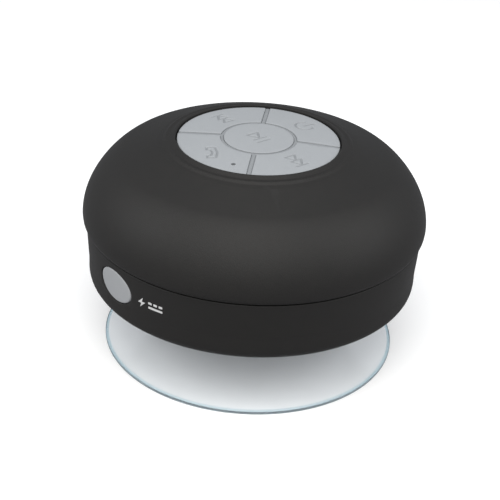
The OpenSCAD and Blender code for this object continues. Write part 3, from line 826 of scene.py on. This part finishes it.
SIGNS = {
    "play": [triangle(-1.2, 2.75, 3.3), bar(0.55, 3.7), bar(2.15, 3.7)],
    "power": [circle_part(0, 0, 2.25, 137, 400), [(0, 0), (0, 3.3)]],
    "next": [triangle(-1.35, 2.4, 3), triangle(1.05, 2.4, 3), bar(2.4, 3.4)],
    "previous": [triangle(1.35, -2.4, 3), triangle(-1.05, -2.4, 3), bar(-2.4, 3.4)],
    "call": moved([closed([(2, 2.7), (0, 2.7), (-0.45, 0), (0, -2.7), (2, -2.7), (2, -1.5), (1.1, -1.4),
                           (0.75, 0), (1.1, 1.4), (2, 1.5)])], 0.7, 0.8, 237),
}
print("signs:", ", ".join(SIGNS))


# %% Distance to a sign's lines
def line_distance(point, lines):
    nearest = 1e9
    for line in lines:
        for (ax, ay), (bx, by) in zip(line, line[1:]):
            length = (bx - ax) ** 2 + (by - ay) ** 2
            t = ((point[0] - ax) * (bx - ax) + (point[1] - ay) * (by - ay)) / length
            t = min(1.0, max(0.0, t))
            nearest = min(nearest, math.hypot(point[0] - ax - t * (bx - ax), point[1] - ay - t * (by - ay)))
    return nearest


KEY_BOTTOM = WEB_BOTTOM + 1.1
EDGE_ROUND = 0.22
LINE_HALF, LINE_FADE, LINE_DEPTH = 0.27, 0.18, 0.19


def crown(x, y):
    """Height of the keypad's crowned top."""
    return KEY_EDGE + CROWN * (1 - (x * x + y * y) / KEYPAD_R ** 2)


def engraved(x, y, lines):
    """Height of a key's top, with its sign sunk in."""
    share = (LINE_HALF + LINE_FADE / 2 - line_distance((x, y), lines)) / LINE_FADE
    share = min(1.0, max(0.0, share))
    return crown(x, y) - LINE_DEPTH * share * share * (3 - 2 * share)


print("highest point of the crown:", round(crown(0, 0), 2), "mm")

# %% Outline of a key
GROOVE, RING_GROOVE = 1.1, 0.8
KEY_CORNER, LEAST_CORNER = 0.3, 0.1


def round_key(inset):
    return [(math.cos(2 * math.pi * k / 128) * (PLAY_R - inset),
             math.sin(2 * math.pi * k / 128) * (PLAY_R - inset)) for k in range(128)]


def sector_key(angle):
    """Outline of an outer key as a function of how far it is drawn in from its edges."""
    def outline(inset):
        inner, outer = PLAY_R + RING_GROOVE + inset, KEYPAD_R - inset
        side = GROOVE / 2 + inset
        ends = [math.pi / 4 - math.asin(side / radius) for radius in (inner, outer)]
        corners = []
        for radius, end, way in ((inner, ends[0], 1), (outer, ends[1], -1)):
            margin = 0.9 / radius
            count = 20 if radius == inner else 40
            corners.append((radius, -end * way, max(KEY_CORNER - inset, LEAST_CORNER)))
            for k in range(count + 1):
                corners.append((radius, way * (-end + margin + 2 * (end - margin) * k / count), 0))
            corners.append((radius, end * way, max(KEY_CORNER - inset, LEAST_CORNER)))
        flat = [(r * math.cos(a), r * math.sin(a), fillet) for r, a, fillet in corners]
        turn = math.radians(angle)
        return [(x * math.cos(turn) - y * math.sin(turn), x * math.sin(turn) + y * math.cos(turn))
                for x, y in rounded(flat, steps=6)]
    return outline


def inside(point, ring):
    """True if a point is inside a ring of points."""
    x, y = point
    odd = False
    for (ax, ay), (bx, by) in zip(ring, ring[1:] + ring[:1]):
        if (ay > y) != (by > y) and x < ax + (bx - ax) * (y - ay) / (by - ay):
            odd = not odd
    return odd


print("corners around an outer key:", len(sector_key(0)(0)))

# %% Net of points for a key's top
COARSE, DENSE = 0.7, 0.115


def net(ring, lines, holes):
    """Points inside a ring and away from the holes: a coarse net, and a dense one along the lines."""
    points = []
    for step, dense in ((COARSE, False), (DENSE, True)):
        area = [p for line in lines for p in line] if dense else ring
        if not area:
            continue
        x0, x1 = min(p[0] for p in area) - 0.5, max(p[0] for p in area) + 0.5
        y0, y1 = min(p[1] for p in area) - 0.5, max(p[1] for p in area) + 0.5
        for i in range(int((x1 - x0) / step) + 1):
            for j in range(int((y1 - y0) / step) + 1):
                point = (x0 + (i + 0.5 * (j % 2)) * step, y0 + j * step)
                if any(math.dist(point, (hx, hy)) < hr + 0.1 for hx, hy, hr in holes):
                    continue
                near = line_distance(point, lines) < 0.48 if lines else False
                if near == dense and (dense or inside(point, ring)):
                    points.append(point)
    return points


print("the net steps by", COARSE, "mm, and by", DENSE, "mm along the lines")


# %% Sheet with holes
def sheet_of(bm, ring, height, lines=(), holes=()):
    """A triangulated sheet inside a ring, with round holes; returns each hole's rim."""
    rims = [[(hx + hr * math.cos(2 * math.pi * k / 48), hy + hr * math.sin(2 * math.pi * k / 48))
             for k in range(48)] for hx, hy, hr in holes]
    points, links = [], []
    for loop in [ring, *rims]:
        first = len(points)
        points += loop
        links += [(first + k, first + (k + 1) % len(loop)) for k in range(len(loop))]
    narrowed = [p for p in net(ring, lines, holes)
                if min(math.dist(p, q) for q in ring) > 0.3]
    points += narrowed
    made, _, faces, _, _, _ = delaunay_2d_cdt([Vector(p) for p in points], links, [], 2, 1e-6)
    verts = [bm.verts.new(Vector((p.x, p.y, height(p.x, p.y))) * MM) for p in made]
    for face in faces:
        middle = sum((made[i] for i in face), Vector((0, 0))) / len(face)
        if not any(math.dist(middle, hole[:2]) < hole[2] for hole in holes):
            bm.faces.new([verts[i] for i in face])
    return rims


trial = bmesh.new()
sheet_of(trial, round_key(0), crown)
print("a plain round top has", len(trial.faces), "faces")
trial.free()


# %% Cap, edge and nib
def key_mesh(outline, centre, lines, holes=()):
    """Cap, rounded edge, underside and nib of one key."""
    bm = bmesh.new()
    rings = [[(x, y, KEY_BOTTOM) for x, y in outline(0)]]
    for k in range(6):
        angle = math.pi / 2 * k / 5
        rings.append([(x, y, crown(x, y) - EDGE_ROUND * (1 - math.sin(angle)))
                      for x, y in outline(EDGE_ROUND * (1 - math.cos(angle)))])
    join_rows(bm, [[bm.verts.new(Vector(p) * MM) for p in ring] for ring in rings], closed=False)
    rims = sheet_of(bm, outline(EDGE_ROUND), lambda x, y: engraved(x, y, lines) if lines else crown(x, y),
                    lines, holes)
    nib = (centre[0], centre[1], NIB_R)
    under = sheet_of(bm, outline(0), lambda x, y: KEY_BOTTOM, holes=[nib, *holes])
    for k, rim in enumerate(rims):
        join_rows(bm, [[bm.verts.new(Vector((x, y, height(x, y))) * MM) for x, y in rim]
                       for height in (crown, lambda x, y: KEY_BOTTOM)], closed=False)
    nib_rim = under[0]
    nib_rows = [[bm.verts.new(Vector((x, y, KEY_BOTTOM)) * MM) for x, y in nib_rim]]
    for drop, inset in ((NIB_Z + 0.25, 0.0), (NIB_Z + 0.07, 0.07), (NIB_Z, 0.25)):
        nib_rows.append([bm.verts.new(Vector((centre[0] + (x - centre[0]) * (1 - inset / NIB_R),
                                              centre[1] + (y - centre[1]) * (1 - inset / NIB_R), drop)) * MM)
                         for x, y in nib_rim])
    join_rows(bm, nib_rows, closed=False)
    bm.faces.new(nib_rows[-1])
    bmesh.ops.remove_doubles(bm, verts=bm.verts, dist=2e-3 * MM)
    bmesh.ops.recalc_face_normals(bm, faces=bm.faces)
    return bm


# %% [markdown]
# ## Web between the keys
#
# A thin silicone web joins the keys and keeps water out. Its ribs stand in the grooves, a little lower than
# the crown and a hair away from the keys, so the grooves read as soft, shallow channels and the keys still
# move. The straight ribs are lofts that follow the crown; they are joined to a turned disc and ring.

# %% Web
RIB_GAP, RIB_SINK, WEB = 0.04, 0.24, 0.6


def groove_rib(angle):
    """Rings of the web that stands in one straight groove, from the ring groove to the keypad's edge."""
    side, out = ring_of(1, 1, angle + 90)[0], ring_of(1, 1, angle)[0]
    half = GROOVE / 2 - RIB_GAP
    rings = []
    for k in range(13):
        r = PLAY_R + RING_GROOVE / 2 + (KEYPAD_R - 0.03 - PLAY_R - RING_GROOVE / 2) * k / 12
        top = crown(r, 0) - RIB_SINK
        section = rounded([(-half, WEB_BOTTOM + 0.1), (half, WEB_BOTTOM + 0.1), (half, top, 0.12),
                           (-half, top, 0.12)])
        rings.append([(r * out[0] + u * side[0], r * out[1] + u * side[1], z) for u, z in section])
    return rings


web = turned([(0, WEB_BOTTOM), (KEYPAD_R, WEB_BOTTOM), (KEYPAD_R, WEB_BOTTOM + WEB), (0, WEB_BOTTOM + WEB)])
near, far = PLAY_R + RIB_GAP, PLAY_R + RING_GROOVE - RIB_GAP
ring_rib = turned(rounded([(near, WEB_BOTTOM + 0.1), (far, WEB_BOTTOM + 0.1),
                           (far, crown(far, 0) - RIB_SINK, 0.12), (near, crown(near, 0) - RIB_SINK, 0.12)]))
web_holes = turned([(0, 51), (NIB_HOLE_R, 51), (NIB_HOLE_R, 54.8), (0, 54.8)], 48, KEY_PLACES + [(0, 0)])
web_microphone = turned([(0, 51), (0.6, 51), (0.6, 54.8), (0, 54.8)], 24, MICROPHONE)
piece("key_web", web, "keypad_grey", "housing", ["keypad_membrane"],
      [("UNION", lofted(groove_rib(angle))) for angle in (45, 135, 225, 315)]
      + [("UNION", ring_rib), ("DIFFERENCE", web_holes), ("DIFFERENCE", web_microphone)])

# %% Make the five keys
KEYS = {"next": 0, "power": 90, "previous": 180, "call": 270}
piece("play_key_cap", key_mesh(round_key, (0, 0), SIGNS["play"]), "keypad_grey", "play_key", ["key_play"])
for key, angle in KEYS.items():
    place = ring_of(KEY_RING_R, 1, angle)[0]
    lines = moved(SIGNS[key], *place)
    holes = [(*MICROPHONE[0], MICROPHONE_R)] if key == "call" else []
    piece(key + "_key_cap", key_mesh(sector_key(angle), place, lines, holes), "keypad_grey", key + "_key",
          ["key_" + key])

# %% [markdown]
# ## Port plug, strap and printed sign
#
# The plug is a soft oval bung. Its face follows the band, so its rings lie on the band's surface and only
# the rounded edge dips below. A thin strap behind it keeps it on the speaker.

# %% Plug
PLUG_ROUND = 0.35
plug_rings = [[(x, y, z) for x, z in oval(PLUG_W - 1.3, PLUG_H - 1.3)] for y in (-39.75, -40.7)]
plug_rings.append([(x, -40.62, z) for x, z in oval(PLUG_W, PLUG_H)])
for k in range(7):
    angle = math.pi / 2 * k / 6
    drawn_in = 2 * PLUG_ROUND * (1 - math.cos(angle))
    plug_rings.append([on_band(x, z, 0.05 + PLUG_ROUND * (1 - math.sin(angle)))
                       for x, z in oval(PLUG_W - drawn_in, PLUG_H - drawn_in)])
for share in (0.82, 0.66, 0.5, 0.34, 0.18, 0.06):
    plug_rings.append([on_band(x, z, 0.05 * share) for x, z in oval(PLUG_W * share, PLUG_H * share)])
nub = lofted(rod(1.5, (PORT.x, -40.2, PORT.z), (PORT.x, -38.9, PORT.z), 48))
piece("port_bung", lofted(plug_rings), "plug_grey", "plug", ["port_plug"], [("UNION", nub)])

# %% Strap
strap_rings = []
for y, radius in ((-36.95, 0.3), (-37.0, 0.7), (-37.3, 1.0), (-37.7, 1.05), (-38.0, 0.9), (-38.12, 0.55),
                  *[(-38.2 - 0.1 * k, 0.55) for k in range(16)]):
    strap_rings.append(rod(radius, (STRAP_X, y, PORT.z), (STRAP_X, y - 1, PORT.z), 24)[0])
strap = piece("bung_strap", lofted(strap_rings), "plug_grey", "housing", ["port_strap"])
strap.parent = None
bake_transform(strap)

# %% Printed sign
INK = 0.04
SIGN_ANGLE = math.radians(-73)


def printed(shapes):
    """Thin ink shapes, given as (along the band, height) points, laid on the band upside down."""
    bm = bmesh.new()
    for shape in shapes:
        ring = []
        for (ax, ay), (bx, by) in zip(shape, shape[1:] + shape[:1]):
            count = max(1, round(math.dist((ax, ay), (bx, by)) / 0.3))
            ring += [(ax + (bx - ax) * k / count, ay + (by - ay) * k / count) for k in range(count)]
        rows = []
        for depth in (0.02, -INK):
            row = []
            for u, v in ring:
                z = PORT.z - v
                radius = band_radius(z) - depth
                angle = SIGN_ANGLE - u / radius
                place = Vector((radius * math.cos(angle), radius * math.sin(angle), z))
                row.append(bm.verts.new(place * MM))
            rows.append(row)
        join_rows(bm, rows, closed=False)
        for row in rows[::-1]:
            rim = [edge for edge in bm.edges if all(vert in row for vert in edge.verts)]
            bmesh.ops.triangle_fill(bm, use_beauty=True, edges=rim)
    bmesh.ops.recalc_face_normals(bm, faces=bm.faces)
    return bm


def slab(x0, x1, y0, y1):
    return rounded([(x0, y0, 0.1), (x1, y0, 0.1), (x1, y1, 0.1), (x0, y1, 0.1)], steps=3)


long_bar = slab(-3.6, 0.4, 0.3, 0.85)
dashes = [slab(-3.6 + 1.5 * k, -2.6 + 1.5 * k, -0.9, -0.35) for k in range(3)]
flash = [(2.95, 1.35), (1.4, -0.2), (2.4, -0.2), (2.05, -1.35), (3.6, 0.2), (2.6, 0.2)]
piece("current_sign", printed([long_bar, *dashes, flash]), "white_ink", "housing", ["port_mark"])

# %% [markdown]
# ## Suction cup
#
# The cup is a thin clear dish: flat at the rim, where it seals on the tile, and steeper and thicker towards
# the neck, which plugs into the hub. The same power curve shapes its two faces, with more thickness inside.

# %% Cup
HOLLOW, STEEP, BOSS_R = 13.0, 1.3, 9.0   # height of the hollow, power of the curve, radius of the boss
LIP_FLAT, SKIN = 1.2, 0.9
NECK_R, BUTTON_R = 4.2, 7.2              # the button snaps into the hub behind the neck


def dish(outer, base, height, steps=60):
    """Points of the dish from radius outer at height base in to the boss."""
    return [(outer + (BOSS_R - outer) * k / steps, base + height * (k / steps) ** STEEP)
            for k in range(steps + 1)]


under_face = dish(CUP_R - LIP_FLAT, 0, HOLLOW)
upper_face = dish(CUP_R - 0.35, SKIN, HOLLOW + 2)
cup_outline = [(0, HOLLOW)] + under_face[::-1] + rounded(
    [under_face[0], (CUP_R, 0, 0.35), (CUP_R, SKIN, 0.35), upper_face[0]], closed=False)[1:-1] + upper_face
cup_outline += rounded([upper_face[-1], (BOSS_R, 17.6, 0.4), (NECK_R, 17.6, 0.3), (NECK_R, 19.9, 0.2),
                        (BUTTON_R, 19.9, 0.6), (BUTTON_R, 21.2, 0.5), (NECK_R, CUP_TOP, 0.8),
                        (0, CUP_TOP)], closed=False)[1:]
piece("vinyl_cup", turned(cup_outline), "clear_cup", "cup", ["suction_cup"], sharp=50)

# %% [markdown]
# ## Spider behind the cone
#
# The spider is the corrugated cloth that centres the voice coil. Its collar stands a little higher than its
# glued edge, which leaves room for the cone's neck when the cone moves in.

# %% Spider
CLOTH, COLLAR_RISE, WAVE, WAVES = 0.18, 0.36, 0.1, 5
GLUED_R, COLLAR_R, STEPS = high("spider").x, 6.5, 60

under, over = [], []
for k in range(STEPS + 1):
    share = k / STEPS
    r = GLUED_R - (GLUED_R - COLLAR_R) * share
    ripple = WAVE * (1 - share) * math.sin(2 * math.pi * WAVES * share)
    z = low("spider").z + 0.1 + COLLAR_RISE * share ** 2 + ripple
    under.append((r, z - CLOTH / 2))
    over.append((r, z + CLOTH / 2))
piece("spider_cloth_ring", turned(under + over[::-1], 128), "spider_cloth", "housing", ["spider"], sharp=60)
